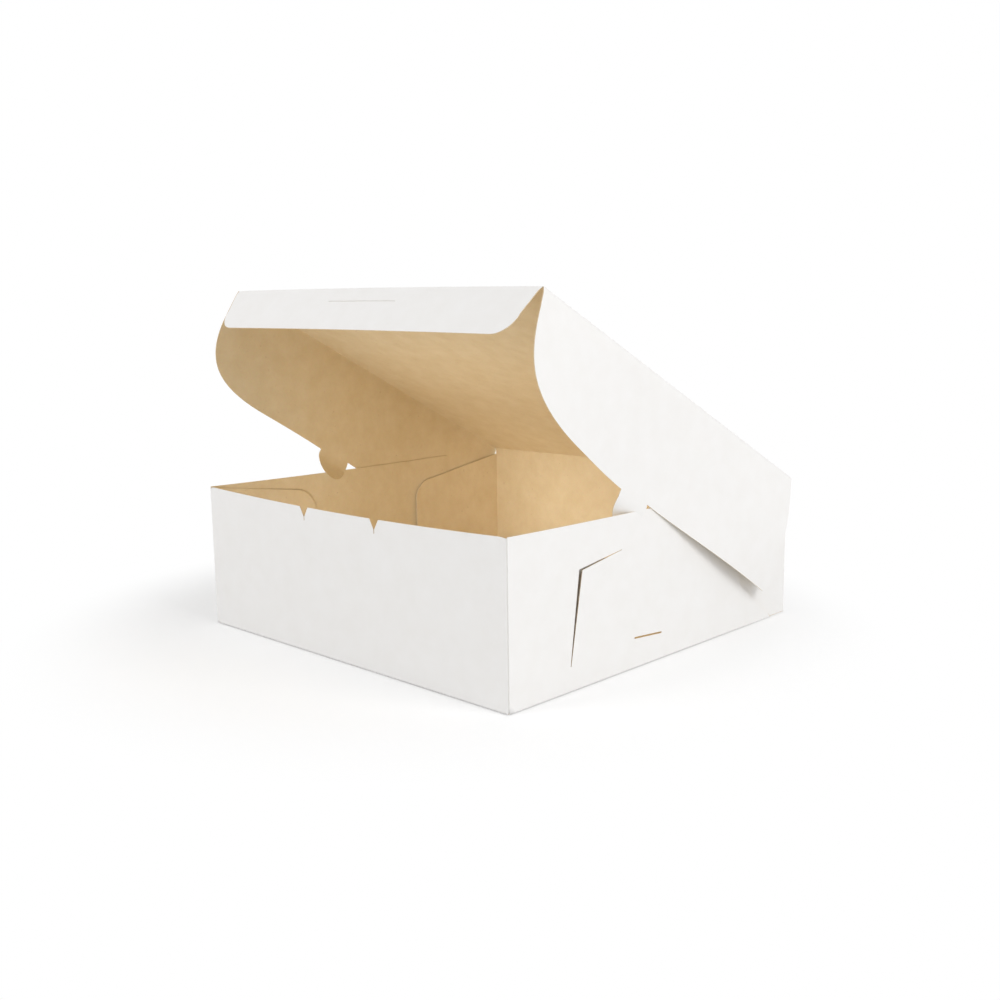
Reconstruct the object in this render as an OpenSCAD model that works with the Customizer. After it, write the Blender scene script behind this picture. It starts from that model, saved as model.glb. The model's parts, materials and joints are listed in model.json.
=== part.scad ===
// Folded card cake box: a square tray with locked corners, and a hinged lid with three flaps.
// The origin is the middle of the base on the table, the front faces -Y and +Z is up.
// The lid stands part open, propped by the round knobs of its side flaps.

/* [Tray] */
// Outside width of the tray, left to right
box_w = 300; // [240:1:360]
// Outside depth of the tray, front to back
box_d = 300; // [240:1:360]
// Height of the tray walls
wall_h = 102; // [90:1:130]
// Thickness of the card
board = 0.6; // [0.4:0.1:1]
// Clear space between a corner tab and the side wall that it lies behind
tab_gap = 0.5; // [0.3:0.1:1]

/* [Front wall] */
// Dip of the front wall's top edge at its middle
front_dip = 3; // [0:0.5:6]
// Width of the locking tongue between the two notches, notch point to notch point
tongue_w = 72; // [50:1:90]
// Width of a notch at the top edge
notch_w = 10; // [6:0.5:14]
// Depth of a notch
notch_h = 9; // [5:0.5:14]
// Length of the fine cut below a notch
notch_cut_h = 5; // [3:0.5:10]

/* [Side walls] */
// Dip of a side wall's top edge at its middle
side_dip = 1; // [0:0.5:4]
// Start of the slanted rear cut along the base, from the back of the tray
rear_cut_foot = 19; // [10:1:30]
// Run of the slanted rear cut towards the front
rear_cut_run = 43; // [30:1:60]
// Rise of the slanted rear cut
rear_cut_rise = 32; // [20:1:50]
// Opening of the hook-shaped lock cut at its bend
hook_gap = 3; // [1.5:0.1:4]
// Opening of every fine cut, at its ends
cut_gap = 0.6; // [0.4:0.1:1]
// Opening of the slot that takes a knob
slot_gap = 1.8; // [1.5:0.1:3]

/* [Corner tabs] */
// Length of a rear corner tab, from the back of the tray
rear_tab_l = 101; // [80:1:120]
// Drop of the rear tab's top edge below the wall, at the back
rear_tab_drop = 5; // [3:1:15]
// Fall of the rear tab's top edge along its length
rear_tab_fall = 13; // [0:1:20]
// Corner radius of the rear tab
rear_tab_r = 17; // [8:1:25]
// Length of a front corner tab, from the front of the tray
front_tab_l = 93; // [70:1:110]
// Drop of the front tab's top edge below the wall
front_tab_drop = 11; // [5:1:20]
// Corner radius of the front tab
front_tab_r = 20; // [8:1:30]

/* [Lid] */
// Angle between the lid and its closed place
lid_open = 26.6; // [0:0.1:60]
// Clear space between the tray walls and the lid flaps outside them
lid_gap = 1.2; // [0.8:0.1:3]
// Clear space between the tray's top edges and the closed lid
lid_rise = 0.4; // [0.3:0.1:1]
// Distance from a fold line to the edge of the flap that turns on it
fold_gap = 0.7; // [0.6:0.1:1.2]

/* [Front flap] */
// Depth of the front flap
front_flap_d = 34; // [25:1:50]
// Angle that the front flap is folded down from the plane of the lid
front_flap_fold = 76.6; // [0:0.1:90]
// Inset of each end of the front flap, from the fold to its lower corner
front_flap_taper = 5; // [0:0.5:12]
// Radius of the front flap's lower corners
front_flap_r = 15; // [5:1:20]
// Length of the lock slit
slit_w = 69; // [50:1:86]
// Distance of the lock slit from the fold
slit_from_fold = 10; // [6:0.5:16]

/* [Side flaps] */
// Height of a side flap's lower rear corner above the table, with the lid closed
side_rear_lift = 13; // [8:0.5:20]
// Height of the line of a side flap's lower edge above the table, at the front of the closed lid
side_front_lift = 36.5; // [30:0.5:50]
// Clear space between a side flap's end and the corner of the lid
side_end_gap = 1.5; // [1:0.1:4]
// Radius of a side flap's lower rear corner
side_rear_r = 6; // [2:0.5:12]
// Width of the knob
knob_w = 30; // [22:1:36]
// Reach of the knob below the flap's lower edge
knob_d = 18.4; // [14:0.2:22]

/* [Hidden] */

// Overrun of every cut through the card
overrun = 1;
// Points along a rounded corner or a long curve
arc_steps = 16;
curve_steps = 24;

half_w = box_w / 2;
half_d = box_d / 2;
// Outer face of the corner tabs, and half the width of the front and back walls
tab_x = half_w - board - tab_gap;
// Lower edge of the corner tabs, just clear of the base
tab_z = board + tab_gap;

// Places of the lock cut in a side wall, as shares of the tray's depth from the front and of the wall's height
hook_foot_shares = [0.179, 0.153];
hook_bend_shares = [0.210, 0.716];
hook_tip_shares = [0.341, 0.775];
hook_foot = [hook_foot_shares.x * box_d, hook_foot_shares.y * wall_h];
hook_bend = [hook_bend_shares.x * box_d, hook_bend_shares.y * wall_h];
hook_tip = [hook_tip_shares.x * box_d, hook_tip_shares.y * wall_h];

// The lid turns on the back wall's top edge. Its fold lines lie in the middle of its thickness.
hinge_z = wall_h + lid_rise + board / 2;
fold_x = half_w + lid_gap + board / 2;
lid_l = box_d + lid_gap + board / 2;

// Depth of a side flap under the lid, at the hinge and at the front
side_rear_d = hinge_z - side_rear_lift;
side_front_d = hinge_z - side_front_lift;
function side_d(u) = side_rear_d + (side_front_d - side_rear_d) * u / lid_l;

// The knob sits past the middle of the lid. Its slot in the side wall is where it comes when the lid closes.
knob_place_share = 0.564;
knob_u = knob_place_share * lid_l;
knob_r = knob_w / 2;
knob_v = side_d(knob_u) + knob_d - knob_r;
slot_l = knob_w - slot_gap;
slot_from_front = box_d - knob_u;
slot_reach_share = 0.41;
slot_z = hinge_z - side_d(knob_u) - slot_reach_share * knob_d;

// The side flap's front edge falls from the lid and sweeps round into its lower edge
sweep_start_share = 0.3;
sweep_turn_share = 0.8;
sweep_end_share = 0.78;
sweep_pull_share = 0.945;
side_front_u = lid_l - side_end_gap;

// Points of an arc round a centre, from one angle to another
function arc(centre, r, from, to) =
    [for (i = [0:arc_steps]) centre + r * [cos(from + (to - from) * i / arc_steps),
                                           sin(from + (to - from) * i / arc_steps)]];

// Point of a cubic curve with four control points
function on_curve(p, t) =
    pow(1 - t, 3) * p[0] + 3 * pow(1 - t, 2) * t * p[1] + 3 * (1 - t) * t * t * p[2] + t * t * t * p[3];
function curve(p) = [for (i = [0:curve_steps]) on_curve(p, i / curve_steps)];

// Points of a top edge from one end to the other, which dips as a parabola at its middle
function dipping(from, to, height, dip) =
    [for (i = [0:curve_steps]) let (s = i / curve_steps)
        [from + (to - from) * s, height - dip * 4 * s * (1 - s)]];

// A card standing along the tray's sides: drawn as distance from the front and height, its inner face at x
module side_card(x) {
    translate([x, -half_d, 0]) rotate([90, 0, 90]) linear_extrude(board) children();
}

// A card standing across the tray: drawn as x and height, its rear face at y
module cross_card(y) {
    translate([0, y, 0]) rotate([90, 0, 0]) linear_extrude(board) children();
}

module both_sides() {
    children();
    mirror([1, 0, 0]) children();
}

// A notch in the front wall's top edge, with the fine cut that runs down from its point
module notch_outline() {
    top = wall_h + overrun;
    point = wall_h - front_dip - notch_h;
    spread = notch_w / 2 * (top - point) / (notch_h + front_dip);
    polygon([[-spread, top], [0, point], [spread, top]]);
    translate([-cut_gap / 2, point - notch_cut_h]) square([cut_gap, notch_cut_h + board]);
}

module front_wall_outline() {
    difference() {
        polygon(concat([[tab_x, 0], [-tab_x, 0]], dipping(-tab_x, tab_x, wall_h, front_dip)));
        for (side = [-1, 1]) translate([side * tongue_w / 2, 0]) notch_outline();
    }
}

// A side wall, with its slanted rear end, the lock cut near its front and the slot for the knob
module side_wall_outline() {
    rear_top = box_d - rear_cut_foot - rear_cut_run;
    difference() {
        polygon(concat(
            [[rear_top, rear_cut_rise], [box_d - rear_cut_foot, 0], [0, 0]],
            dipping(0, rear_top, wall_h, side_dip)));
        polygon([
            hook_foot - [cut_gap / 2, 0], hook_foot + [cut_gap / 2, 0],
            hook_bend + [hook_gap / 2, -hook_gap / 2],
            hook_tip - [0, cut_gap / 2], hook_tip + [0, cut_gap / 2],
            hook_bend + [-hook_gap / 2, hook_gap / 2]]);
        translate([slot_from_front - slot_l / 2, slot_z - slot_gap / 2]) square([slot_l, slot_gap]);
    }
}

// A rear corner tab, drawn as distance from the front: it runs forward from the back wall
module rear_tab_outline() {
    front = box_d - rear_tab_l;
    top_rear = wall_h - rear_tab_drop;
    top_front = top_rear - rear_tab_fall;
    polygon(concat(
        [[box_d, tab_z], [box_d, top_rear]],
        arc([front + rear_tab_r, top_front - rear_tab_r], rear_tab_r, 90, 180),
        [[front, tab_z]]));
}

// A front corner tab runs back from the front wall and ends in a rounded lobe
module front_tab_outline() {
    top = wall_h - front_tab_drop;
    polygon(concat(
        [[0, tab_z], [0, wall_h - front_dip]],
        arc([front_tab_l - front_tab_r, top - front_tab_r], front_tab_r, 90, 0),
        arc([front_tab_l - front_tab_r, tab_z + front_tab_r], front_tab_r, 0, -90)));
}

// The base, four walls and corner tabs: one sheet, folded and locked
module tray() {
    color("#F3F1EE") {
        translate([-half_w, -half_d, 0]) cube([box_w, box_d, board]);
        cross_card(-half_d + board) front_wall_outline();
        cross_card(half_d) translate([-tab_x, 0]) square([2 * tab_x, wall_h]);
        both_sides() {
            side_card(half_w - board) side_wall_outline();
            side_card(tab_x - board) rear_tab_outline();
            side_card(tab_x - board) front_tab_outline();
        }
    }
}

// Turns what is drawn about the closed lid's hinge line to the lid's open place
module on_lid() {
    translate([0, half_d, hinge_z]) rotate([-lid_open, 0, 0]) children();
}

module lid_panel() {
    color("#F3F1EE") on_lid()
        translate([-fold_x, -lid_l, -board / 2]) cube([2 * fold_x, lid_l, board]);
}

// The front flap, drawn as x and distance from its fold, with tapered ends and round lower corners
module front_flap_outline() {
    top = half_w;
    low = half_w - front_flap_taper;
    difference() {
        polygon(concat(
            [[-top, fold_gap], [top, fold_gap]],
            arc([low - front_flap_r, front_flap_d - front_flap_r], front_flap_r, 0, 90),
            arc([-low + front_flap_r, front_flap_d - front_flap_r], front_flap_r, 90, 180)));
        translate([-slit_w / 2, slit_from_fold - cut_gap / 2]) square([slit_w, cut_gap]);
    }
}

module front_flap() {
    color("#EDEDEA") on_lid() translate([0, -lid_l, 0]) rotate([front_flap_fold, 0, 0])
        translate([0, 0, -board / 2]) mirror([0, 1, 0]) linear_extrude(board) front_flap_outline();
}

// A side flap, drawn as distance from the hinge and depth below the lid. Its front edge sweeps round into
// a lower edge that deepens towards the back, and its round knob hangs from that edge.
module side_flap_outline() {
    start = sweep_start_share * side_front_d;
    end = sweep_end_share * lid_l;
    sweep = curve([
        [side_front_u, start],
        [side_front_u, sweep_turn_share * side_front_d],
        [sweep_pull_share * lid_l, side_d(sweep_pull_share * lid_l)],
        [end, side_d(end)]]);
    rear = side_end_gap + side_rear_r;
    polygon(concat(
        [[side_end_gap, fold_gap], [side_front_u, fold_gap]],
        sweep,
        arc([rear, side_d(rear) - side_rear_r], side_rear_r, 90, 180)));
    translate([knob_u, knob_v]) circle(knob_r, $fn = 64);
}

module side_flap() {
    on_lid() translate([fold_x - board / 2, 0, 0]) rotate([90, 0, 90]) mirror([1, 0, 0]) mirror([0, 1, 0])
        linear_extrude(board) side_flap_outline();
}

module right_flap() {
    color("#F8F6F5") side_flap();
}

module left_flap() {
    color("#F8F6F5") mirror([1, 0, 0]) side_flap();
}

tray();
lid_panel();
front_flap();
left_flap();
right_flap();
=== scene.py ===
# %% [markdown]
# # A folded card cake box
#
# The box is one die-cut sheet of card, white on the outside and brown kraft on the inside. The frame
# holds its solids: a tray, a lid panel and three lid flaps. This lesson dresses them as what they are:
# thin card that was cut flat, creased and folded. Each piece is drawn as a flat blank first and then
# folded by a formula, the way the maker's machine does it.

import json
import math

import bpy
import numpy as np
from mathutils import Matrix, Vector
from mathutils.geometry import delaunay_2d_cdt


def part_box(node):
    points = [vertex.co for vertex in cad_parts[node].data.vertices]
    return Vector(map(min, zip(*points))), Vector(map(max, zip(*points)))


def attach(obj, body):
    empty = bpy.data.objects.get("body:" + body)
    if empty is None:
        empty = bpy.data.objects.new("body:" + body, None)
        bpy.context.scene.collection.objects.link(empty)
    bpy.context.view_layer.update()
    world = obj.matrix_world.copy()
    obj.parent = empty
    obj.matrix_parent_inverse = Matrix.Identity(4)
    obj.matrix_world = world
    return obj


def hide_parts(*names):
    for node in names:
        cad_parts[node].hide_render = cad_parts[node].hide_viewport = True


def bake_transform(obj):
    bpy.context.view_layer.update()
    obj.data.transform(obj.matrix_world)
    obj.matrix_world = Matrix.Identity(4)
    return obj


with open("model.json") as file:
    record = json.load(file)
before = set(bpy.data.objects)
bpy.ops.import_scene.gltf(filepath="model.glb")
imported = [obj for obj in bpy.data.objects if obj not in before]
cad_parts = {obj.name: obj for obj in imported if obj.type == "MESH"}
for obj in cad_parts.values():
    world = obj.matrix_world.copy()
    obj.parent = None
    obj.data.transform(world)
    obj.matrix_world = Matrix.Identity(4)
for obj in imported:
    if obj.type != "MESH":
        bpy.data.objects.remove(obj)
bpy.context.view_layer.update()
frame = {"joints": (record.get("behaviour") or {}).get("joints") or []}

# %% [markdown]
# ## Places and fold lines
#
# The tray's box gives the walls, and the joints give the fold lines of the lid. The numbers could be
# typed in again, but then a change to the solids would leave the card behind, so they are read from the
# frame. Lengths are in millimetres, as on a drawing, and turn into metres only when a mesh is written.

# %% Places from the frame
MM = 0.001
joints = {joint["name"]: joint for joint in frame["joints"]}
tray_low, tray_high = (np.array(corner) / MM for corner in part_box("tray"))
half_w, half_d, wall_h = tray_high
hinge = np.array(joints["lid_hinge"]["pos_m"]) / MM
front_fold = np.array(joints["front_flap_fold"]["pos_m"]) / MM
fold_x = joints["right_flap_fold"]["pos_m"][0] / MM
lid_l = np.linalg.norm(front_fold - hinge)
lid_open = math.radians(-joints["lid_hinge"]["range_deg"][0])
front_turn = math.radians(joints["front_flap_fold"]["range_deg"][1])
print("tray from", tray_low.round(1), "to", tray_high.round(1), "mm")
print(f"lid {lid_l:.1f} mm long, open {math.degrees(lid_open):.1f} degrees")

# %% [markdown]
# ## Thickness and bends
#
# Such board is a little over half a millimetre thick, and a crease bends it on about its own thickness. A
# sharp corner would be simpler, but real card has a small round there that catches the light. Walls, base
# and tabs are one sheet, so each fold line lies half a board inside the outer face, and a corner tab's
# lies one board further in.

# %% Thickness, bends and directions
BOARD = 0.6        # thickness of the card
BEND = 0.7         # radius of a crease, at the middle of the card
BASE_BEND = 0.5    # radius of the creases round the base
TAB_BEND = 0.35    # radius of a corner tab's crease, which is pressed sharper
TAB_GAP = 0.1      # space between a corner tab's root and the side wall
side_fold = half_w - BOARD / 2
cross_fold = half_d - BOARD / 2
tab_fold = side_fold - BOARD - TAB_GAP

ACROSS, BACKWARD, UP = np.eye(3)
to_front = np.array([0, -math.cos(lid_open), math.sin(lid_open)])       # along the open lid
to_inside = np.array([0, -math.sin(lid_open), -math.cos(lid_open)])     # out of the open lid's inner face
print(f"fold lines at x {side_fold:.2f} and {tab_fold:.2f} mm, y {cross_fold:.2f} mm")

# %% [markdown]
# ## Cut edges
#
# A cutting forme is made of straight knives, round ones and a few freely bent ones. Three formulas give
# them: an arc, a cubic curve for the flaps' swept ends, and a straight edge with a slight sag. Curve
# objects could do the same, but arrays of points can be measured, mirrored and joined with no further
# step.


# %% Knives of the cutting forme
def arc(centre, r, start, end, steps=14):
    """Points at distance r from the centre, as the angle goes evenly from start to end in degrees."""
    a = np.radians(np.linspace(start, end, steps))
    return np.array(centre) + r * np.column_stack([np.cos(a), np.sin(a)])


def sweep(p, steps=40):
    """A cubic curve: four points weighted by the four terms of ((1 - t) + t) cubed, for t from 0 to 1."""
    t = np.linspace(0, 1, steps)[:, None]
    p = np.array(p, float)
    return (1 - t) ** 3 * p[0] + 3 * (1 - t) ** 2 * t * p[1] + 3 * (1 - t) * t ** 2 * p[2] + t ** 3 * p[3]


def dipping(start, end, height, dip, steps=40):
    """A straight edge lowered by a parabola that is zero at both ends and dip deep in the middle."""
    s = np.linspace(0, 1, steps)
    return np.column_stack([start + (end - start) * s, height - 4 * dip * s * (1 - s)])


lowest = dipping(0, 100, 10, 2)[:, 1].min()
print(f"an edge 10 mm up that sags by 2 mm comes down to {lowest:.2f} mm")

# %% [markdown]
# ## Trimming a sheet
#
# A sheet of card is a grid of points trimmed by its cut outline. Plain grid quads can't follow a round
# knob or a slanting slit, and a filled polygon has no points in its middle that could bend. So the grid's
# points and the outline's points are joined into triangles that keep the outline's edges exact. First
# come the three questions that trimming asks: where are points along a knife, is a point inside a loop,
# and is it clear of a line.


# %% Points along a loop, inside it and clear of it
def divide(loop, step):
    """Adds points along a closed loop so that no edge is longer than step, by walking its length evenly."""
    ends = np.roll(loop, -1, axis=0)
    counts = np.maximum(1, np.ceil(np.linalg.norm(ends - loop, axis=1) / step)).astype(int)
    which = np.repeat(np.arange(len(loop)), counts)
    share = (np.arange(counts.sum()) - np.repeat(np.cumsum(counts) - counts, counts)) / counts[which]
    return loop[which] + share[:, None] * (ends - loop)[which]


def inside(points, loop):
    """True where a ray to the right of the point crosses the loop an odd number of times."""
    a, b = loop, np.roll(loop, -1, axis=0)
    x, y = points[:, :1], points[:, 1:]
    spans = (a[:, 1] > y) != (b[:, 1] > y)
    rise = np.where(b[:, 1] == a[:, 1], 1, b[:, 1] - a[:, 1])
    crossing = a[:, 0] + (y - a[:, 1]) * (b[:, 0] - a[:, 0]) / rise
    return (spans & (x < crossing)).sum(axis=1) % 2 == 1


def clear_of(points, path, margin):
    """True where the point is at least margin from every straight stretch of the path."""
    a, along = path[:-1], np.diff(path, axis=0)
    offset = points[:, None, :] - a
    t = np.clip((offset * along).sum(-1) / (along * along).sum(-1), 0, 1)
    return np.linalg.norm(offset - t[..., None] * along, axis=-1).min(axis=1) >= margin


def closed(loop):
    """The loop with its first point again at the end."""
    return np.vstack([loop, loop[:1]])


def in_sheet(points, loops):
    """True where a point is inside the first loop, the outline, and outside the others, the holes."""
    found = inside(points, loops[0])
    for hole in loops[1:]:
        found &= ~inside(points, hole)
    return found


square = np.array([[0.0, 0.0], [10.0, 0.0], [10.0, 10.0], [0.0, 10.0]])
print("a 10 mm square divided at 4 mm has", len(divide(square, 4)), "points")

# %% [markdown]
# The sheet's points are of three kinds: those on the knives, rows of them along each crease, where the
# card bends, and a plain grid elsewhere that gives way to the other two. Triangles outside the outline
# are dropped, and all are turned the same way round, so that the card has one outer and one inner side.

# %% Cut a sheet
CLEAR_SHARE = 0.45      # a grid point keeps this share of the grid's step from knives and creases
ROW_CLEAR = 0.2         # mm that a crease's points keep from the outline
MERGE = 1e-5            # mm within which two points count as one
SLIVER = 1e-3           # a triangle flatter than this share of its length is left out


def sheet_points(loops, rows, step):
    """The loops' points, the crease rows' points inside the outline, and those points of a square grid that
    lie in the sheet and are clear of all loops and rows."""
    low, high = loops[0].min(axis=0), loops[0].max(axis=0)
    axes = [np.arange(a + step / 2, b, step) for a, b in zip(low, high)]
    grid = np.stack(np.meshgrid(*axes), axis=-1).reshape(-1, 2)
    keep = in_sheet(grid, loops)
    for path in [closed(loop) for loop in loops] + list(rows):
        keep &= clear_of(grid, path, CLEAR_SHARE * step)
    rows_in = [row[inside(row, loops[0]) & clear_of(row, closed(loops[0]), ROW_CLEAR)] for row in rows]
    return np.vstack([*loops, *rows_in, grid[keep]])


def cut(outline, holes=(), rows=(), step=7.0):
    """Trims a grid of the given step by an outline and holes, and returns the points and their triangles.

    Each loop point is tied to the next one, and the last to the first, so those edges stay. A triangle
    stays if its middle is in the sheet, and is turned round if the cross product of two of its sides,
    which is twice its area, comes out negative. Slivers on straight slanting edges are left out, because
    they spoil the smooth shading.
    """
    loops = [divide(np.array(loop, float), step) for loop in (outline, *holes)]
    points = sheet_points(loops, rows, step)
    sizes = np.array([len(loop) for loop in loops])
    first = np.repeat(np.cumsum(sizes) - sizes, sizes)
    index = np.arange(sizes.sum())
    edges = np.column_stack([index, first + (index + 1 - first) % np.repeat(sizes, sizes)])
    found = delaunay_2d_cdt(list(map(Vector, points)), edges.tolist(), [], 0, MERGE)
    flat, triangles = np.array(found[0]), np.array(found[2])
    triangles = triangles[in_sheet(flat[triangles].mean(axis=1), loops)]
    a, b, c = flat[triangles].transpose(1, 0, 2)
    cross = (b - a)[:, 0] * (c - a)[:, 1] - (b - a)[:, 1] * (c - a)[:, 0]
    longest = np.linalg.norm([b - a, c - b, a - c], axis=2).max(axis=0)
    triangles = np.where(cross[:, None] < 0, triangles[:, ::-1], triangles)
    triangles = triangles[np.abs(cross) > SLIVER * longest ** 2]
    used, place = np.unique(triangles, return_inverse=True)
    return flat[used], place.reshape(-1, 3)


CREASE_OFFSETS = np.array([-2.2, -1, -0.5, 0, 0.5, 1, 2.2])      # rows across a bend, in its reaches


def crease_rows(start, end, reach, step=5.0):
    """Lines of points along a crease: across its bend, and just past both ends of it."""
    start, end = np.array(start, float), np.array(end, float)
    length = np.linalg.norm(end - start)
    along = (end - start) / length
    side = np.array([-along[1], along[0]])
    s = np.linspace(0, length, int(length / step) + 2)[:, None]
    return [start + s * along + offset * side for offset in CREASE_OFFSETS * reach]


print("a 10 mm square cut at 4 mm has", len(cut(square, step=4.0)[1]), "triangles")

# %% [markdown]
# ## Folding
#
# A fold turns everything past a line about that line. Bones or a bend modifier could do that, but they
# stretch the card. Here the strip round the line goes onto an arc and the rest is carried on in a
# straight line, as real card does. The same formula turns the surface's direction, which later gives the
# card its thickness.


# %% Fold formula
def fold(point, normal, where, corner, out, up, angle, r=BEND):
    """Turns the card past a line about it, towards up, on a bend of radius r.

    In the plane of out and up, a point at distance d from the line stays put before the bend, lies on the
    arc within it, and runs straight on at the fold's angle after it. Height above the card turns with it.
    """
    d = (point - corner) @ out
    h = (point - corner) @ up
    reach = r * math.tan(angle / 2)
    turn = np.clip((d + reach) / (2 * reach), 0, 1) * angle
    past = np.maximum(d - reach, 0)
    before = np.minimum(d + reach, 0)
    new_out = before - reach + r * np.sin(turn) + past * math.cos(angle) - h * np.sin(turn)
    new_up = r * (1 - np.cos(turn)) + past * math.sin(angle) + h * np.cos(turn)
    moved = point + np.outer(new_out - d, out) + np.outer(new_up - h, up)
    n_out, n_up = normal @ out, normal @ up
    turned = (normal + np.outer(n_out * (np.cos(turn) - 1) - n_up * np.sin(turn), out)
              + np.outer(n_out * np.sin(turn) + n_up * (np.cos(turn) - 1), up))
    chosen = where[:, None]
    return np.where(chosen, moved, point), np.where(chosen, turned, normal)


start = np.array([[50.0, 0, 0]])
tried, turned = fold(start, UP[None], np.array([True]), np.zeros(3), ACROSS, UP, math.pi / 2)
print("a point 50 mm past a square fold comes to", tried[0].round(2))

# %% [markdown]
# ## Thickness
#
# A solidify modifier could thicken the sheet. Writing both faces and the rim here lets each take its own
# finish: white coating outside, kraft inside and raw pulp on the cut rim. Where two boards meet at a
# corner, the coating is dragged over the edge by the knife, so there the rim is marked as coated and
# stays white.


# %% Card with two faces and a rim
def sharpen(mesh, ends):
    """Marks the edges whose two ends are in the list as sharp, by one number that is made of both ends."""
    count = len(mesh.vertices)
    found = np.zeros(len(mesh.edges) * 2, np.int32)
    mesh.edges.foreach_get("vertices", found)
    found = np.sort(found.reshape(-1, 2), axis=1).astype(np.int64)
    ends = np.sort(ends, axis=1)
    sharp = np.isin(found[:, 0] * count + found[:, 1], ends[:, 0] * count + ends[:, 1])
    mesh.attributes.new("sharp_edge", "BOOLEAN", "EDGE").data.foreach_set("value", sharp)


def card(name, triangles, middle, normal, finishes, coated=None):
    """Writes a card as a closed mesh: an outer and an inner face, half a board to each side of the middle
    surface, and a rim of quads along every cut edge, where a triangle's edge has no neighbour.

    normal points to the inner side. Where the triangles face the other way, by the cross product of two
    sides, they are turned round, so that every face points out of the card. The rim has the outer finish
    where both its points are marked as coated, and the raw one elsewhere.
    """
    n = len(middle)
    a, b, c = middle[triangles].transpose(1, 0, 2)
    facing = np.cross(b - a, c - a)
    if (facing * normal[triangles[:, 0]]).sum() < 0:
        triangles = triangles[:, ::-1]
    coated = np.zeros(n, bool) if coated is None else coated
    places = np.vstack([middle - normal * BOARD / 2, middle + normal * BOARD / 2]) * MM
    edges = np.vstack([triangles[:, [0, 1]], triangles[:, [1, 2]], triangles[:, [2, 0]]])
    key, back = edges[:, 0] * n + edges[:, 1], edges[:, 1] * n + edges[:, 0]
    rim = edges[~np.isin(key, back)]
    quads = np.column_stack([rim, rim[:, ::-1] + n])
    faces = [*triangles[:, ::-1].tolist(), *(triangles + n).tolist(), *quads.tolist()]
    mesh = bpy.data.meshes.new(name)
    mesh.from_pydata(places.tolist(), [], faces)
    rim_finish = np.where(coated[rim].all(axis=1), 0, 2)
    which = np.concatenate([np.repeat([0, 1], len(triangles)), rim_finish]).astype(np.int32)
    mesh.polygons.foreach_set("material_index", which)
    mesh.polygons.foreach_set("use_smooth", np.ones(len(faces), bool))
    sharpen(mesh, np.vstack([rim, rim + n]))
    mesh.update()
    for coat in finishes:
        mesh.materials.append(coat)
    piece = bpy.data.objects.new(name, mesh)
    bpy.context.scene.collection.objects.link(piece)
    area = np.linalg.norm(facing, axis=1).sum() / 2
    print(f"{name}: {len(faces)} faces, {area * MM * MM:.4f} square metres of card")
    return piece


# %% [markdown]
# ## Finishes
#
# Bakery board is a folding boxboard: brown unbleached kraft pulp with a white clay coating rolled onto
# one side. So the box needs three finishes: the coating, the kraft and the raw cut edge. Photographs of
# card could be wrapped on, but patterns worked out from the real sizes of clouds, fibres and flecks fit
# any place on the sheet. They read object coordinates, so that they run on over a fold as they do on the
# real sheet.


# %% Colours and nodes
def linear(code):
    """An sRGB hex colour as linear red, green, blue and alpha."""
    s = np.array([int(code[i:i + 2], 16) for i in (1, 3, 5)]) / 255
    return (*np.where(s <= 0.04045, s / 12.92, ((s + 0.055) / 1.055) ** 2.4), 1.0)


def add(tree, kind, settings=(), **inputs):
    """Adds a node, sets its properties and fills its inputs with values or with links from other nodes. An
    input is named as on the node, with _ for a space, or by its number, as in i6."""
    made = tree.nodes.new(kind)
    for key, value in dict(settings).items():
        setattr(made, key, value)
    for key, value in inputs.items():
        socket = made.inputs[int(key[1:]) if key[1:].isdigit() else key.replace("_", " ")]
        if isinstance(value, bpy.types.NodeSocket):
            tree.links.new(value, socket)
        else:
            socket.default_value = value
    return made


def finish(name, colour, roughness):
    """A new material, with its node tree and its shader."""
    made = bpy.data.materials.new(name)
    made.use_nodes = True
    shader = made.node_tree.nodes["Principled BSDF"]
    shader.inputs["Base Color"].default_value = linear(colour)
    shader.inputs["Roughness"].default_value = roughness
    return made, made.node_tree, shader


def per_metre(size_mm):
    """How many pattern cells of a size in millimetres go into a metre, the unit of object coordinates."""
    return 1 / (size_mm * MM)


BLEND_COLOURS = {"data_type": "RGBA"}      # i0 is the share, i6 and i7 are the colours
print("clouds of 14 mm:", round(per_metre(14), 1), "to the metre")

# %% [markdown]
# ### Clay-coated white
#
# Clay and binder are rolled onto the pulp and smoothed by a hot drum. That gives a matt, slightly warm
# white with faint clouds where the brown shows through, and a very low relief of fibres under the coat.
# One plain white would look like plastic, so both are drawn, at their real sizes.


# %% Clay-coated white
def clay_white():
    """Clay coat on kraft: matt warm white, faintly mottled where the brown pulp shows through."""
    made, tree, shader = finish("clay_coated_white", "#F4F3F1", 0.55)
    place = add(tree, "ShaderNodeTexCoord").outputs["Object"]
    mottle = add(tree, "ShaderNodeTexNoise", Vector=place, Scale=per_metre(14), Detail=4.0, Roughness=0.6)
    tone = add(tree, "ShaderNodeMix", BLEND_COLOURS, i0=mottle.outputs["Fac"], i6=linear("#F1EFEC"),
               i7=linear("#F7F6F5"))
    tree.links.new(tone.outputs[2], shader.inputs["Base Color"])
    fibre = add(tree, "ShaderNodeTexNoise", Vector=place, Scale=per_metre(0.9), Detail=3.0, Roughness=0.7)
    relief = add(tree, "ShaderNodeBump", Strength=0.06, Distance=0.2 * MM, Height=fibre.outputs["Fac"])
    tree.links.new(relief.outputs["Normal"], shader.inputs["Normal"])
    return made


white_face = clay_white()
print("made", white_face.name)

# %% [markdown]
# ### Brown kraft
#
# The inner side is bare pulp, pressed and dried but not coated. It is duller than the white side and
# shows cloudy patches where the pulp lay thicker, fine fibres and a few darker flecks of bark. The clouds
# set the colour, the fibres are laid over them by soft light, and the flecks are the peaks of a third
# noise.


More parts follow.
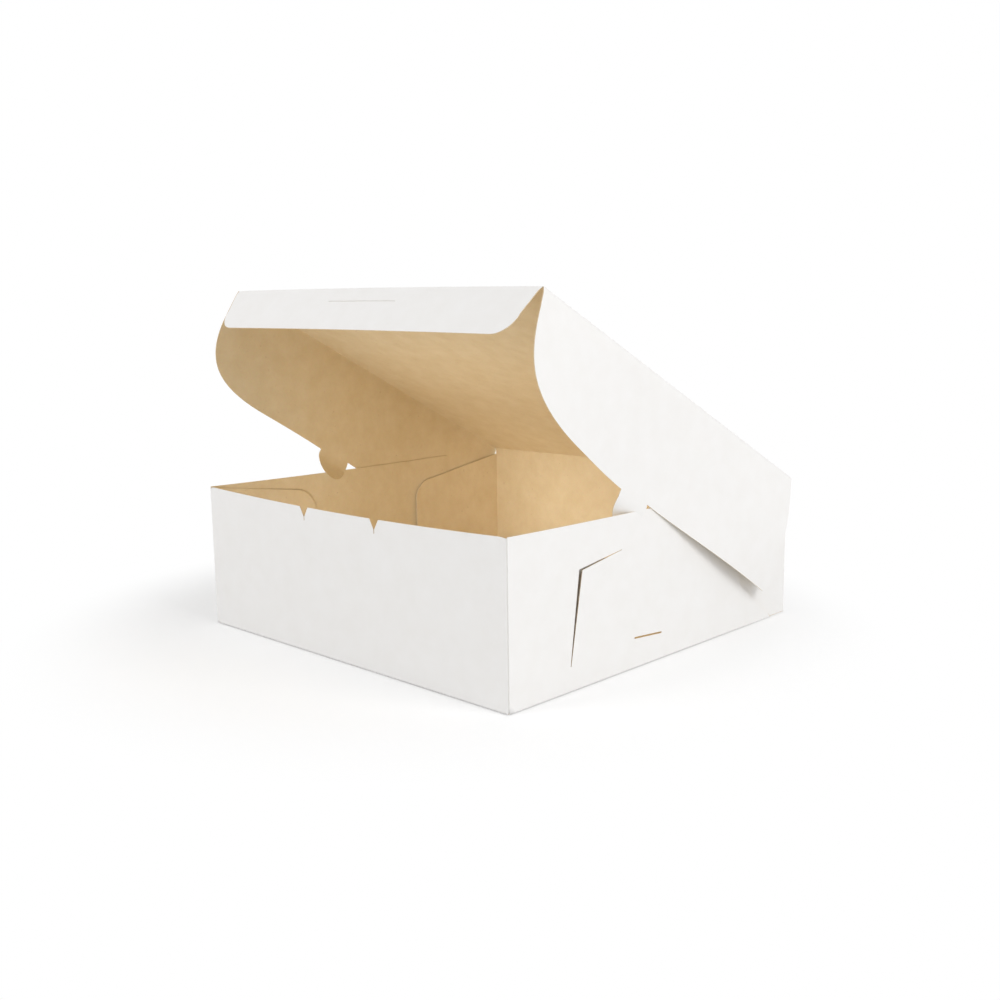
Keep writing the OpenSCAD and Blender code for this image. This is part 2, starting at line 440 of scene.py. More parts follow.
# %% Brown kraft
def kraft():
    """Unbleached kraft pulp: cloudy brown, with fine fibres and darker flecks."""
    made, tree, shader = finish("brown_kraft", "#CFA872", 0.85)
    shader.inputs["Specular IOR Level"].default_value = 0.25
    place = add(tree, "ShaderNodeTexCoord").outputs["Object"]
    cloud = add(tree, "ShaderNodeTexNoise", Vector=place, Scale=per_metre(13), Detail=5.0, Roughness=0.62)
    base = add(tree, "ShaderNodeMix", BLEND_COLOURS, i0=cloud.outputs["Fac"], i6=linear("#D8C195"),
               i7=linear("#ECDBBA"))
    fibre = add(tree, "ShaderNodeTexNoise", Vector=place, Scale=per_metre(1.6), Detail=4.0, Roughness=0.75,
                Distortion=1.5)
    streak = add(tree, "ShaderNodeMix", {**BLEND_COLOURS, "blend_type": "SOFT_LIGHT"}, i0=0.35,
                 i6=base.outputs[2], i7=fibre.outputs["Color"])
    fleck = add(tree, "ShaderNodeTexNoise", Vector=place, Scale=per_metre(3.2), Detail=2.0, Roughness=0.5)
    spot = add(tree, "ShaderNodeMapRange", Value=fleck.outputs["Fac"], i1=0.70, i2=0.78, i3=0.0, i4=0.22)
    tone = add(tree, "ShaderNodeMix", BLEND_COLOURS, i0=spot.outputs[0], i6=streak.outputs[2],
               i7=linear("#9A733F"))
    tree.links.new(tone.outputs[2], shader.inputs["Base Color"])
    relief = add(tree, "ShaderNodeBump", Strength=0.12, Distance=0.2 * MM, Height=fibre.outputs["Fac"])
    tree.links.new(relief.outputs["Normal"], shader.inputs["Normal"])
    return made


brown_face = kraft()
print("made", brown_face.name)

# %% [markdown]
# ### Cut edge
#
# The knife shears the board and leaves its pulp bare, a lighter and rougher brown than the pressed face,
# with streaks where the blade dragged. It shows only as thin lines, so one noise is enough.


# %% Cut edge
def cut_edge():
    """The sheared edge of the card: brown pulp, streaked where the knife dragged."""
    made, tree, shader = finish("cut_kraft_edge", "#E0CDB0", 0.9)
    place = add(tree, "ShaderNodeTexCoord").outputs["Object"]
    drag = add(tree, "ShaderNodeTexNoise", Vector=place, Scale=per_metre(2.5), Detail=3.0)
    tone = add(tree, "ShaderNodeMix", BLEND_COLOURS, i0=drag.outputs["Fac"], i6=linear("#D2B78F"),
               i7=linear("#EADCC6"))
    tree.links.new(tone.outputs[2], shader.inputs["Base Color"])
    return made


card_finishes = [white_face, brown_face, cut_edge()]
print("finishes:", [f.name for f in card_finishes])

# %% [markdown]
# ## Tray: the front wall's edge
#
# The tray's blank is a cross: the base, a wall on each edge, and corner tabs on the front and back walls.
# It is drawn once for the right half and mirrored, so the two sides match as they do on the real sheet.
# The front wall's top edge sags a little and has two notches. The tongue between them goes into the lid's
# slit when the box is shut.

# %% Front wall's top edge
FRONT_DIP = 3.0                                    # sag of the front wall's top edge
TONGUE_W = 72.0                                    # between the notches' points
NOTCH_W, NOTCH_H, NOTCH_CUT_H = 8.6, 6.6, 2.5      # a notch, and the knife cut under its point
CUT_GAP = 0.6                                      # width of a knife cut
EDGE_CLEAR = 1.0                                   # between an edge's own points and a corner on it


def front_edge():
    """Right half of the front wall's top edge, as x and height: a sagging parabola, broken at half the
    tongue's width by a notch whose two straight sides run down to a short upright cut."""
    half_width = tab_fold + BOARD / 2
    edge = dipping(-half_width, half_width, wall_h, FRONT_DIP, steps=61)
    edge = edge[edge[:, 0] > 0]
    point, wide, gap = TONGUE_W / 2, NOTCH_W / 2, CUT_GAP / 2
    top = np.interp(point, edge[:, 0], edge[:, 1])
    low = top - NOTCH_H
    notch = np.array([[point - wide, top], [point - gap, low], [point - gap, low - NOTCH_CUT_H],
                      [point + gap, low - NOTCH_CUT_H], [point + gap, low], [point + wide, top]])
    before = edge[edge[:, 0] < point - wide - EDGE_CLEAR]
    after = edge[(edge[:, 0] > point + wide + EDGE_CLEAR) & (edge[:, 0] < half_width - EDGE_CLEAR)]
    return np.vstack([before, notch, after])


print("front edge:", len(front_edge()), "points on its right half")

# %% [markdown]
# ## Tray: the corner tabs
#
# Tabs on the front and back walls turn in behind the side walls and hold the corners square. Their ends
# are round, so that they slide in. A narrow relief is cut beside each tab's root, because card can't fold
# both ways at a point. A tab's foot stays above the base's crease, or the fold of the base would bend it
# too.

# %% Corner tabs
FRONT_TAB_L, REAR_TAB_L = 93.0, 101.0          # length of the tabs
FRONT_TAB_DROP, REAR_TAB_DROP = 11.0, 4.5      # drop below the wall's top
FRONT_TAB_R, REAR_TAB_R = 20.0, 17.0           # radius of their round corners
REAR_TAB_FALL = 13.5                           # slope of a rear tab's top, over its length
RELIEF = 0.8                                   # space on the blank between a side wall and a tab
RELIEF_FOOT = 0.5                              # height where the relief starts
HINGE_STRIP = 2.0                              # top of the back wall, which bends with the lid
tab_low = BOARD / 2 + BASE_BEND                # foot of a tab
tab_root = tab_fold + BOARD / 2


def front_tab():
    """Front tab as x and height: from the wall's top round two quarter arcs at its end to its foot."""
    end, top = tab_fold + FRONT_TAB_L - FRONT_TAB_R, wall_h - FRONT_TAB_DROP - FRONT_TAB_R
    return np.vstack([[[tab_fold + TAB_BEND, wall_h - RELIEF]],
                      arc([end, top], FRONT_TAB_R, 90, 0),
                      arc([end, tab_low + FRONT_TAB_R], FRONT_TAB_R, 0, -90),
                      [[tab_fold + RELIEF, tab_low], [tab_fold + RELIEF, RELIEF_FOOT]]])


def rear_tab():
    """Rear tab as x and height: along its foot, up its end, round one quarter arc and up a straight slope
    to the wall, whose edge then rises to the hinge strip."""
    high = wall_h - REAR_TAB_DROP
    end = tab_fold + REAR_TAB_L
    return np.vstack([[[tab_fold + RELIEF, RELIEF_FOOT], [tab_fold + RELIEF, tab_low], [end, tab_low]],
                      arc([end - REAR_TAB_R, high - REAR_TAB_FALL - REAR_TAB_R], REAR_TAB_R, 0, 90),
                      [[tab_root, high], [tab_root, hinge[2] - HINGE_STRIP]]])


print(f"tabs reach {FRONT_TAB_L:.0f} and {REAR_TAB_L:.0f} mm along the walls, feet at {tab_low:.1f} mm")

# %% [markdown]
# ## Tray: the side walls and the whole blank
#
# A side wall's rear end is cut away: upright first, then slanting down to the base's corner, so that the
# back wall's tab shows there. Its front edge is set back a little, flush behind the front wall. On the
# blank, a height on a wall is a distance past the base's fold line, and two small functions turn one into
# the other.

# %% Side walls and whole blank
SIDE_DIP = 1.0      # sag of a side wall's top edge
FLUSH = 0.55        # setback of its front edge from the front wall
REAR_CUT_FOOT, REAR_CUT_RUN, REAR_CUT_RISE = 19.0, 43.0, 32.0      # the slant's start, length and height
box_d = 2 * half_d


def on_side(d, z):
    """Blank place of a point on the right wall, from its distance from the tray's front and its height."""
    return np.column_stack([side_fold + np.asarray(z) - BOARD / 2, np.asarray(d) - half_d])


def on_cross(edge, side):
    """Blank place of an edge on the front (side -1) or back wall (side 1), from its x and its height."""
    return np.column_stack([edge[:, 0], side * (cross_fold + edge[:, 1] - BOARD / 2)])


def tray_outline():
    """Right half of the blank, from the front wall's middle round to the back, then its mirror image."""
    rear_top = box_d - REAR_CUT_FOOT - REAR_CUT_RUN
    top = dipping(0, rear_top, wall_h, SIDE_DIP)
    side_wall = np.vstack([on_side([FLUSH], [0.0]), on_side(top[:, 0].clip(FLUSH), top[:, 1]),
                           on_side([rear_top, box_d - REAR_CUT_FOOT], [REAR_CUT_RISE, 0.0])])
    base_corner = np.array([[side_fold, cross_fold - BOARD / 2]])
    right = np.vstack([on_cross(front_edge(), -1), on_cross(front_tab(), -1), side_wall, base_corner,
                       on_cross(rear_tab(), 1)])
    return np.vstack([right, right[::-1] * [-1, 1]])


blank = tray_outline()
print("blank of the tray:", np.ptp(blank, axis=0).round(0), "mm")

# %% [markdown]
# ## Tray: the lock cuts
#
# Each side wall has a hook-shaped cut, which the packer may push in to lock a tab, and a slot low down
# for the side flap's knob. The slot's place follows from the knob: it lies where the knob comes to when
# the lid is shut, and it is parallel to the flap's lower edge, which slants. The right wall is strained,
# so its hook gapes.

# %% Lock cuts and slots
SIDE_REAR_LIFT, SIDE_FRONT_LIFT = 13.0, 36.5           # of a shut flap's lower edge above the base
KNOB_W, KNOB_D, KNOB_PLACE_SHARE = 30.0, 18.4, 0.564   # a knob's width, depth, and place along the lid
SLOT_REACH_SHARE, SLOT_GAP = 0.41, 1.2                 # where the slot meets the knob, and its width
HOOK_SHARES = np.array([[0.179, 0.153], [0.210, 0.716], [0.341, 0.775]])      # of a wall's length, height
HOOK_GAP, HOOK_TOP_GAP = {-1: 0.15, 1: 3.0}, 0.9       # opening at the hook's bend, across and along it
side_rear_d, side_front_d = hinge[2] - SIDE_REAR_LIFT, hinge[2] - SIDE_FRONT_LIFT
knob_u = KNOB_PLACE_SHARE * lid_l


def side_depth(u):
    """Depth of a side flap's straight lower edge under the lid, which lessens evenly towards the front."""
    return side_rear_d + (side_front_d - side_rear_d) * u / lid_l


slot_z = hinge[2] - side_depth(knob_u) - SLOT_REACH_SHARE * KNOB_D
slot_l = KNOB_W - SLOT_GAP


def side_cuts(side):
    """The hook and the slot in one side wall, as closed loops on the blank. The hook is two thin wedges
    from its ends to its bend. The slot is a thin parallelogram, lower at its rear by the flap edge's
    slope."""
    foot, bend, tip = HOOK_SHARES * [box_d, wall_h]
    gape, top, end = np.minimum(HOOK_GAP[side], [HOOK_GAP[side], HOOK_TOP_GAP, CUT_GAP]) / 2
    hook = np.array([foot - [end, 0], foot + [end, 0], bend + [gape, -top], tip - [0, end / 2],
                     tip + [0, end / 2], bend + [-gape, top]])
    near, far = box_d - knob_u - slot_l / 2, box_d - knob_u + slot_l / 2
    low, high = slot_z - SLOT_GAP / 2, slot_z + SLOT_GAP / 2
    drop = (side_rear_d - side_front_d) / lid_l * slot_l / 2
    slot = np.array([[near, low + drop], [far, low - drop], [far, high - drop], [near, high + drop]])
    return [on_side(loop[:, 0], loop[:, 1]) * [side, 1] for loop in (hook, slot)]


print(f"slot {slot_l:.1f} mm long, {slot_z:.1f} mm above the base")

# %% [markdown]
# ## Tray: folding
#
# The packer turns the tabs in, then lifts the side walls, then the front and back walls. The script folds
# in the same order, because each fold carries along what was folded before. Tabs spring away from the
# wall a little: those on the left curve away, and those on the right lean straight.

# %% Fold the tray
# Degrees that a tab leans, by its end and its side, where -1 is the front and the left
TAB_LEAN = {(-1, -1): 0.4, (1, -1): 1.0, (-1, 1): 3.0, (1, 1): 0.3}
TAB_POWER = {-1: 2, 1: 1}      # 2 curves away, 1 leans straight
ROW_FOOT = 1.0                 # mm past the base's fold where a tab's rows of points start


def tray_creases():
    """Rows of points along the four creases of the base and the four of the corner tabs."""
    rows = []
    for s in (-1, 1):
        rows += crease_rows([s * side_fold, -cross_fold], [s * side_fold, cross_fold], BASE_BEND)
        rows += crease_rows([-tab_fold, s * cross_fold], [tab_fold, s * cross_fold], BASE_BEND)
        for end in (-1, 1):
            foot, top = end * (cross_fold + ROW_FOOT), end * (cross_fold + wall_h)
            rows += crease_rows([s * tab_fold, foot], [s * tab_fold, top], TAB_BEND)
    return rows


def tray():
    """Cuts the blank, folds the corner tabs, then the side walls, then the front and back walls. A tab is
    sprung inwards by its length times the tangent of its lean, times its share of that length to a
    power."""
    flat, triangles = cut(blank, side_cuts(-1) + side_cuts(1), tray_creases())
    x, y = flat.T
    floor_level = UP * BOARD / 2
    point = np.column_stack([flat, np.full(len(flat), BOARD / 2)])
    normal = np.tile(UP, (len(flat), 1))
    quarter = math.pi / 2
    past_base = cross_fold + RELIEF / 2
    on_cross_wall = np.abs(y) > past_base
    for s in (-1, 1):
        out = s * ACROSS
        tab = on_cross_wall & (s * x > tab_fold - TAB_BEND)
        lean = np.tan(np.radians(np.where(y < 0, TAB_LEAN[-1, s], TAB_LEAN[1, s])))
        sprung = FRONT_TAB_L * lean * (np.maximum(s * x - tab_fold, 0) / FRONT_TAB_L) ** TAB_POWER[s]
        corner = floor_level + out * tab_fold
        point, normal = fold(point, normal, tab, corner, out, UP, quarter, TAB_BEND)
        point = point - np.outer(np.where(tab, sprung, 0), out)
        wall = ~on_cross_wall & (s * x > side_fold - BASE_BEND)
        corner = floor_level + out * side_fold
        point, normal = fold(point, normal, wall, corner, out, UP, quarter, BASE_BEND)
    for s in (-1, 1):
        out = s * BACKWARD
        wall = (s * y > past_base) | ((s * y > cross_fold - BASE_BEND) & (np.abs(x) < side_fold))
        corner = floor_level + out * cross_fold
        point, normal = fold(point, normal, wall, corner, out, UP, quarter, BASE_BEND)
    side_ends = (np.abs(np.abs(y) - half_d) < FLUSH + BOARD / 2) & (np.abs(x) > side_fold - BOARD)
    base_corners = (np.abs(np.abs(x) - side_fold) < BOARD) & (y > half_d - REAR_CUT_FOOT - BOARD)
    coated = (side_ends & ~on_cross_wall) | base_corners
    return card("tray_card", triangles, point, normal, card_finishes, coated)


tray_piece = tray()
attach(tray_piece, "tray")
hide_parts("tray")

# %% [markdown]
# ## Lid
#
# The lid panel carries the crease that it hinges on, a strip that belongs half to the back wall and half
# to the lid. Two rigid pieces would show a gap there, so the strip is drawn as part of the lid's card,
# folded down onto the back wall. Opened card never lies quite flat: the left front corner stands up, and
# the front edge arches.

# %% Lid panel
LID_WARP = 5.5          # mm that the left front corner of the lid stands up, as sprung card does
LID_CROWN = 0.8         # mm that the middle of the front edge arches above its ends
STRIP_TAPER = 1.0       # mm over which the lid narrows to the back wall's width


def warped(x, u):
    """Lift of the lid out of its plane, which grows with distance from the hinge. It is a slope from the
    right side up to the left, plus a parabola across that is zero at both sides."""
    across = np.clip(x / fold_x, -1, 1)
    return np.outer((LID_WARP * (1 - across) / 2 + LID_CROWN * (1 - across ** 2)) * u / lid_l, -to_inside)


def lid():
    """A flat panel from the hinge to the front fold, with its rear strip folded down onto the back wall."""
    half, front = fold_x - BEND, lid_l - BEND
    angle = math.pi / 2 - lid_open
    slip = (hinge[1] - cross_fold) / math.cos(lid_open)
    start = slip - (HINGE_STRIP + slip * math.sin(lid_open))
    taper = slip - STRIP_TAPER
    outline = np.array([[-half, slip], [-tab_root, taper], [-tab_root, start], [tab_root, start],
                        [tab_root, taper], [half, slip], [half, front], [-half, front]])
    flat, triangles = cut(outline, (), crease_rows([-half, slip], [half, slip], BEND * math.tan(angle / 2)))
    point = hinge + np.outer(flat[:, 0], ACROSS) + np.outer(flat[:, 1], to_front)
    normal = np.tile(to_inside, (len(flat), 1))
    point = point + warped(flat[:, 0], np.maximum(flat[:, 1], 0))
    everywhere = np.ones(len(flat), bool)
    point, normal = fold(point, normal, everywhere, hinge + slip * to_front, -to_front, to_inside, angle)
    return card("lid_card", triangles, point, normal, card_finishes)


lid_piece = lid()
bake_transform(lid_piece)
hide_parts("lid_panel")

# %% [markdown]
# ## Front flap
#
# A shallow flap with tapered ends and round lower corners, creased along the lid's front edge. Near the
# crease it has the slit that takes the tray's tongue. The slit is a real hole, thin as a knife cut, so
# that it shows from both sides. The flap follows the lid's warp, or a gap would open along the crease.

# %% Front flap
FRONT_FLAP_D, FRONT_FLAP_TAPER, FRONT_FLAP_R = 34.0, 5.0, 15.0      # depth, narrowing and corner radius
SLIT_W, SLIT_FROM_FOLD, SLIT_GAP = 67.0, 10.9, 0.4                  # length, place and width of the slit


def front_flap():
    """The flap's blank lies in the plane of the lid, past its front fold, and is folded to the inside."""
    top, low = half_w, half_w - FRONT_FLAP_TAPER - FRONT_FLAP_R
    deep = FRONT_FLAP_D - FRONT_FLAP_R
    outline = np.vstack([[[-top, -BEND], [top, -BEND]], arc([low, deep], FRONT_FLAP_R, 0, 90),
                         arc([-low, deep], FRONT_FLAP_R, 90, 180)])
    near, far = SLIT_FROM_FOLD - SLIT_GAP / 2, SLIT_FROM_FOLD + SLIT_GAP / 2
    slit = np.array([[-SLIT_W / 2, near], [SLIT_W / 2, near], [SLIT_W / 2, far], [-SLIT_W / 2, far]])
    rows = crease_rows([-top, 0], [top, 0], BEND * math.tan(front_turn / 2))
    flat, triangles = cut(outline, [slit], rows, step=5.0)
    x, d = flat.T
    point = front_fold + np.outer(x, ACROSS) + np.outer(d, to_front)
    normal = np.tile(to_inside, (len(flat), 1))
    everywhere = np.ones(len(flat), bool)
    point, normal = fold(point, normal, everywhere, front_fold, to_front, to_inside, front_turn)
    point = point + warped(x, np.full(len(flat), lid_l))
    slit_edge = (np.abs(d - SLIT_FROM_FOLD) < SLIT_GAP) & (np.abs(x) < SLIT_W / 2 + SLIT_GAP)
    return card("front_flap_card", triangles, point, normal, card_finishes, slit_edge)


front_flap_piece = front_flap()
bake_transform(front_flap_piece)
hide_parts("front_flap")

# %% [markdown]
# ## Side flaps: the cut
#
# Each side flap hangs from the lid outside the side wall. Its front end is swept back in one long curve,
# its lower edge slants, and a round knob hangs from it. Behind the hinge the flap has a small ear, which
# covers the corner between lid, back wall and tab, and from there its rear edge slants forward.

# %% Cut of a side flap
SWEEP_START_SHARE, SWEEP_TURN_SHARE = 0.3, 0.8        # of the front depth: the curve's start and first pull
SWEEP_PULL_SHARE, SWEEP_END_SHARE = 0.945, 0.78       # of the lid's length: its last pull and its end
SIDE_END_GAP, SIDE_REAR_R = 0.5, 6.0                  # setback of the crease's ends, rear corner's radius
SIDE_EAR, SIDE_EAR_START, SIDE_EAR_FALL = 2.6, 0.7, 4.0      # reach past the hinge, depth, rear slant


def side_flap_outline():
    """The flap's cut edge, as distance from the hinge and depth under the lid, anticlockwise with depth up:
    along the crease, down the cubic curve, round the knob's arc, and round the rear corner to the ear."""
    front = lid_l - SIDE_END_GAP
    end, pull = SWEEP_END_SHARE * lid_l, SWEEP_PULL_SHARE * lid_l
    swept = sweep([[front, SWEEP_START_SHARE * side_front_d], [front, SWEEP_TURN_SHARE * side_front_d],
                   [pull, side_depth(pull)], [end, side_depth(end)]])
    r = KNOB_W / 2
    knob_v = side_depth(knob_u) + KNOB_D - r
    rise = math.degrees(math.asin((knob_v - side_depth(knob_u)) / r))
    knob = arc([knob_u, knob_v], r, -rise, 180 + rise, steps=36)
    rear = SIDE_REAR_R - SIDE_EAR + SIDE_EAR_FALL
    corner = arc([rear, side_depth(rear) - SIDE_REAR_R], SIDE_REAR_R, 90, 180)
    crease = [[SIDE_END_GAP, -BEND], [front, -BEND]]
    return np.vstack([crease, swept, knob, corner, [[-SIDE_EAR, SIDE_EAR_START]]])


flap_outline = side_flap_outline()
print("side flap:", np.ptp(flap_outline, axis=0).round(1), "mm")

# %% [markdown]
# ## Side flaps: how they hang
#
# Card this thin doesn't stay flat. The flaps flare out at the front, they are drawn in where their knobs
# hook over the walls, and the right one bulges and stands off at its rear. A cloth simulation could find
# such a shape, but not this one. So the lean is written as a function of the place on the flap, and the
# whole sheet twists smoothly.

# %% Lean of a side flap
FRONT_FLARE = {-1: math.radians(11), 1: math.radians(8)}      # the left flap flares more
FLARE_FULL_SHARE = 0.97                         # of the lid's length, where the flare is full
REAR_BULGE, REAR_STAND_OFF = {-1: 0.0, 1: 6.5}, {-1: 0.0, 1: 7.0}      # mm, the left flap lies on its wall
BULGE_SHARES, STAND_OFF_SHARE = (0.05, 0.35), 0.1             # of the lid's length, where they fade
HOLD, HOLD_SHARE = 1.05, 0.25                   # mm that a hooked flap is drawn in, in full from this depth
HOLD_FROM = {-1: (-0.02, 0.08), 1: (0.3, 0.5)}  # shares of the lid's length over which the hold sets in
HOLD_END_SHARE = 0.85                           # where it has faded out
KNOB_CURL, CURL_START, CURL_SOFT = math.radians(32), 4.5, 4.0      # lean, and mm below the flap's edge
KNOB_MARGIN = 0.5                               # mm beside a knob that curl with it


def smooth(low, high, value):
    """Rises from 0 at low to 1 at high as 3s squared less 2s cubed."""
    s = np.clip((value - low) / (high - low), 0, 1)
    return s * s * (3 - 2 * s)


def flap_lean(u, v, side):
    """How far a side flap stands out from the plane under its crease, in five parts that add up.

    At the rear its middle bulges as a half wave over its depth. Its lower edge stands off as the square of
    the depth, less and less towards the knob. Near the knob it is drawn in, onto the wall. In front of the
    knob it leans out by a growing angle. The knob curls in, softly.
    """
    depth = np.clip(v / side_depth(u), 0, 1)
    knob_rear, knob_front = knob_u - KNOB_W / 2, knob_u + KNOB_W / 2
    near, far = np.array(BULGE_SHARES) * lid_l
    bulge = REAR_BULGE[side] * np.sin(math.pi * depth) * (1 - smooth(near, far, u))
    stand_off = REAR_STAND_OFF[side] * depth ** 2 * (1 - smooth(STAND_OFF_SHARE * lid_l, knob_rear, u))
    first, full = np.array(HOLD_FROM[side]) * lid_l
    hold = HOLD * smooth(0, HOLD_SHARE, depth) * smooth(first, full, u)
    hold = hold * (1 - smooth(knob_front, HOLD_END_SHARE * lid_l, u))
    flare = math.tan(FRONT_FLARE[side]) * np.maximum(v, 0) * smooth(knob_front, FLARE_FULL_SHARE * lid_l, u)
    below = np.maximum(v - side_depth(u) - CURL_START, 0)
    at_knob = np.abs(u - knob_u) < KNOB_W / 2 + KNOB_MARGIN
    curl = np.where(at_knob, math.tan(KNOB_CURL) * below ** 2 / (below + CURL_SOFT), 0)
    return bulge + stand_off + flare - hold - curl


print("right flap's rear end stands off", flap_lean(0.0, side_rear_d, 1).round(1), "mm at its lower edge")

# %% [markdown]
# ## Side flaps: folding
#
# One function makes both flaps, and the sign of the side mirrors them. Mirroring the finished mesh would
# turn it inside out and give both the same lean. Each flap is folded square at the lid's side crease and
# leans afterwards, so the crease itself stays straight.


# %% Side flaps
def side_flap(name, side):
    """The blank lies in the plane of the lid past its side fold, is folded square and then leans out."""
    out = side * ACROSS
    flat, triangles = cut(flap_outline, (), crease_rows([0, 0], [lid_l, 0], BEND), step=4.0)
    u, v = flat.T
    corner = hinge + out * fold_x
    point = corner + np.outer(u, to_front) + np.outer(v, out)
    normal = np.tile(to_inside, (len(flat), 1))
    point, normal = fold(point, normal, np.ones(len(flat), bool), corner, out, to_inside, math.pi / 2)
    point = point + np.outer(flap_lean(u, v, side), out) + warped(np.full(len(flat), side * fold_x), u)
    return card(name, triangles, point, normal, card_finishes)


for side, body in ((-1, "left_flap"), (1, "right_flap")):
    piece = side_flap(f"{body}_card", side)
    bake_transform(piece)
    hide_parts(body)

# %% [markdown]
# ## What the camera sees directly
#
# The box stands on white paper in a white studio. More light would burn the white card out, so the white
# comes from the materials: what the camera, a reflection or clear glass sees of floor and world is white,
# and the light that they throw on the box stays plain. Both need the same question, so it is one function.


# %% Rays that look straight at a thing
def seen_directly(tree):
    """1 for rays from the camera, from a reflection or through clear stuff, and 0 for the rest: the highest
    of the three."""
    ray = add(tree, "ShaderNodeLightPath").outputs
    highest = {"operation": "MAXIMUM"}
    either = add(tree, "ShaderNodeMath", highest, i0=ray["Is Camera Ray"], i1=ray["Is Glossy Ray"])
    any_of_them = add(tree, "ShaderNodeMath", highest, i0=either.outputs[0], i1=ray["Is Transmission Ray"])
    return any_of_them.outputs[0]


WHITE = (1, 1, 1, 1)
print("white for direct looks:", WHITE)

# %% [markdown]
# ## Floor
#
# A sheet of matt white paper. Near the box it keeps its shading and the box's shadow, and further out it
# fades into plain white, as an evenly lit studio sweep does. A curved backdrop could do the same, but it
# would need far more light. The paper lies half a millimetre low, so that the box's foot shows a fine dark
# line.

# %% White paper floor
FADE_CENTRE, FADE_START, FADE_END = (-0.035, -0.02, 0.0), 0.19, 0.32      # m, middle and radii of the fade
FLOOR_GLOW = 0.14      # share of white added to the paper near the box


def paper_floor():
    """White paper: its own matt shade plus a little white near the box, fading to plain white far out."""
    made, tree, shader = finish("white_paper_floor", "#F2F2F2", 0.9)
    shader.inputs["Specular IOR Level"].default_value = 0.0
    place = add(tree, "ShaderNodeTexCoord").outputs["Object"]
    far = add(tree, "ShaderNodeVectorMath", {"operation": "DISTANCE"}, i0=place, i1=FADE_CENTRE)
    fade = add(tree, "ShaderNodeMapRange", {"interpolation_type": "SMOOTHSTEP"}, Value=far.outputs["Value"],
               From_Min=FADE_START, From_Max=FADE_END)
    glow = add(tree, "ShaderNodeEmission", Color=WHITE, Strength=FLOOR_GLOW)
    white = add(tree, "ShaderNodeEmission", Color=WHITE, Strength=1.0)
    lifted = add(tree, "ShaderNodeAddShader", i0=shader.outputs[0], i1=glow.outputs[0])
    faded = add(tree, "ShaderNodeMixShader", Fac=fade.outputs[0], i1=lifted.outputs[0], i2=white.outputs[0])
    seen = seen_directly(tree)
    total = add(tree, "ShaderNodeMixShader", Fac=seen, i1=shader.outputs[0], i2=faded.outputs[0])
    tree.links.new(total.outputs[0], tree.nodes["Material Output"].inputs["Surface"])
    return made


FLOOR_HALF, FLOOR_Z = 6.0, -0.0005      # metres
floor_mesh = bpy.data.meshes.new("floor")
floor_corners = np.array([[-1, -1], [1, -1], [1, 1], [-1, 1]]) * FLOOR_HALF
floor_mesh.from_pydata(np.column_stack([floor_corners, np.full(4, FLOOR_Z)]).tolist(), [], [(0, 1, 2, 3)])
floor_mesh.materials.append(paper_floor())
floor_piece = bpy.data.objects.new("floor", floor_mesh)
bpy.context.scene.collection.objects.link(floor_piece)
print(f"floor {2 * FLOOR_HALF:.0f} m across, {-FLOOR_Z / MM:.1f} mm below the box")

# %% [markdown]
# ## World
#
# White walls all round the set throw an even, weak light on the box. A picture of a studio could do that
# too, but it would add reflections that matt card doesn't show. So the world is one plain white, which is
# weaker as a light than it looks to the camera.

# %% Studio world
WORLD_LIGHT = 0.60
world = bpy.data.worlds.new("studio")
world.use_nodes = True
bpy.context.scene.world = world
sky = world.node_tree
white = add(sky, "ShaderNodeBackground", Color=WHITE, Strength=1.0)
soft = add(sky, "ShaderNodeBackground", Color=WHITE, Strength=WORLD_LIGHT)
mixed = add(sky, "ShaderNodeMixShader", Fac=seen_directly(sky), i1=soft.outputs[0], i2=white.outputs[0])
sky.links.new(mixed.outputs[0], sky.nodes["World Output"].inputs["Surface"])
print("world light:", WORLD_LIGHT)

# %% [markdown]
# ## Lamps
#
# One big lamp stands high on the right and a weaker one at the front left, which makes the front wall the
# darker one. The inside of the box would then be far too dim: on the real set, light reaches in under the
# lid from white boards all round. Three small lamps inside the tray stand for that light, turned to the
# back wall, up to the lid and to the left rear corner. The camera doesn't see them.


# %% Lamps
def lamp(name, place, aim, wide, high, watts, spread=180):
    """A flat lamp at a place, turned to face the aim point, with a beam of the given spread in degrees.
    Bigger and nearer is softer."""
    light = bpy.data.lights.new(name, "AREA")
    light.shape = "RECTANGLE"
    light.size, light.size_y = wide, high
    light.energy = watts
    light.spread = math.radians(spread)
    made = bpy.data.objects.new(name, light)
    made.location = place
    made.rotation_euler = (Vector(aim) - Vector(place)).to_track_quat("-Z", "Y").to_euler()
    bpy.context.scene.collection.objects.link(made)
    return made


MIDDLE = (0, 0, 0.1)
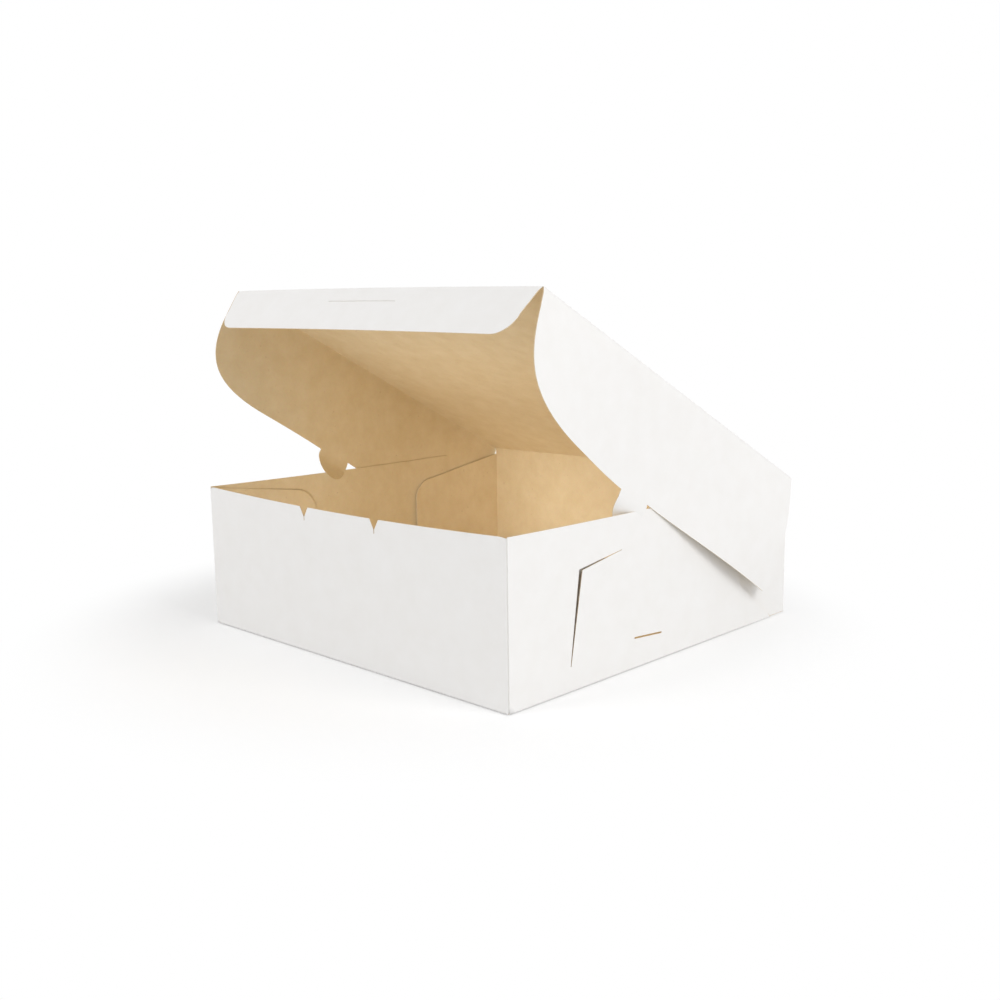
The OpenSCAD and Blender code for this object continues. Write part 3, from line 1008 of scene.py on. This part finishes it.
# Name, place and aim in metres, width, height, watts, and the spread of a narrower beam
lamp("key", (1.9, 0.2, 1.3), MIDDLE, 1.2, 1.2, 18)
lamp("fill", (-0.6, -1.5, 1.0), MIDDLE, 0.8, 0.8, 7.5)
tray_lamps = [
    lamp("panel_in_tray", (-0.02, -0.115, 0.045), (-0.02, 0.15, 0.1), 0.2, 0.06, 0.080, 150),
    lamp("strip_in_tray", (0.0, -0.135, 0.08), (0.0, 0.1, 0.3), 0.26, 0.02, 0.058),
    lamp("beam_in_tray", (0.08, -0.103, 0.05), (-0.09, 0.15, 0.06), 0.14, 0.06, 0.024, 44),
]
for tray_lamp in tray_lamps:
    tray_lamp.visible_camera = False
print("lamps:", [light.name for light in bpy.data.lights])

# %% [markdown]
# ## Camera
#
# The camera's place was worked out from the tray's corners in the photo: how far round and up it stands,
# its slight tilt, its distance and its focal length. A camera aimed by a constraint would do as well, but
# three directions written as the columns of a matrix leave nothing to be solved.

# %% Camera
AZIMUTH, ELEVATION, ROLL = (math.radians(a) for a in (44.096, 9.227, -0.797))
DISTANCE, SHIFT_RIGHT, SHIFT_UP = 844.34, -1.341, 87.355      # mm from the base's middle, on its own axes
SENSOR, FOCAL_SHARE = 36.0, 1.1284                            # sensor width in mm, focal length over it
right = np.array([math.cos(AZIMUTH), math.sin(AZIMUTH), 0])
back = np.array([math.sin(AZIMUTH) * math.cos(ELEVATION), -math.cos(AZIMUTH) * math.cos(ELEVATION),
                 math.sin(ELEVATION)])
upward = np.cross(back, right)
right, upward = (math.cos(ROLL) * right + math.sin(ROLL) * upward,
                 math.cos(ROLL) * upward - math.sin(ROLL) * right)
stand = (SHIFT_RIGHT * right + SHIFT_UP * upward + DISTANCE * back) * MM
lens = bpy.data.cameras.new("camera")
lens.sensor_width = SENSOR
lens.lens = SENSOR * FOCAL_SHARE
lens.clip_start, lens.clip_end = 0.01, 50.0
camera = bpy.data.objects.new("camera", lens)
axes = Matrix(np.column_stack([right, upward, back]).tolist())
camera.matrix_world = Matrix.Translation(stand) @ axes.to_4x4()
bpy.context.scene.collection.objects.link(camera)
bpy.context.scene.camera = camera
bpy.context.scene.view_settings.view_transform = "Standard"
print("camera at", stand.round(3), "m")
